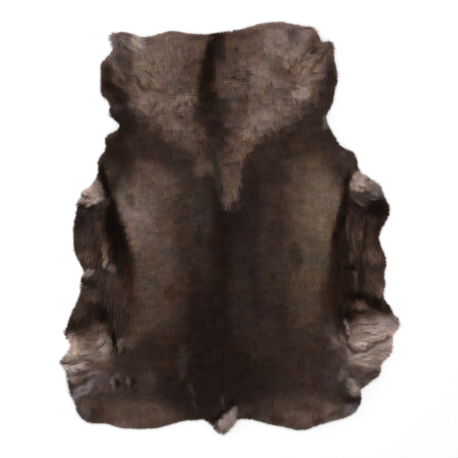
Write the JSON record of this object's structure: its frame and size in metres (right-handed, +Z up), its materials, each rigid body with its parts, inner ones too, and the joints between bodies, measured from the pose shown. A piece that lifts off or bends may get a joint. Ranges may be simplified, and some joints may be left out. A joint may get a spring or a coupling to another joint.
{
  "type": "reindeer hide",
  "caption": "Whole tanned deer hide laid hair side up: broad neck, leg flaps, tail tuft, thick grey-brown pile with a dark back and pale leg patches.",
  "frame": {"origin": "centre of the hide's bounding box, on the surface that it lies on", "axes": "+Y along the back towards the neck, +X across to the right of the picture, +Z up out of the hair side"},
  "size_m": [0.9908, 1.1934, 0.0435],
  "materials": {
    "fur": "dense matte animal hair, grey-brown to near black, with cream patches at the legs and tail",
    "skin": "pale suede flesh side of the tanned skin"
  },
  "bodies": {
    "root": {"reindeer_hide": "fur"}
  },
  "joints": []
}
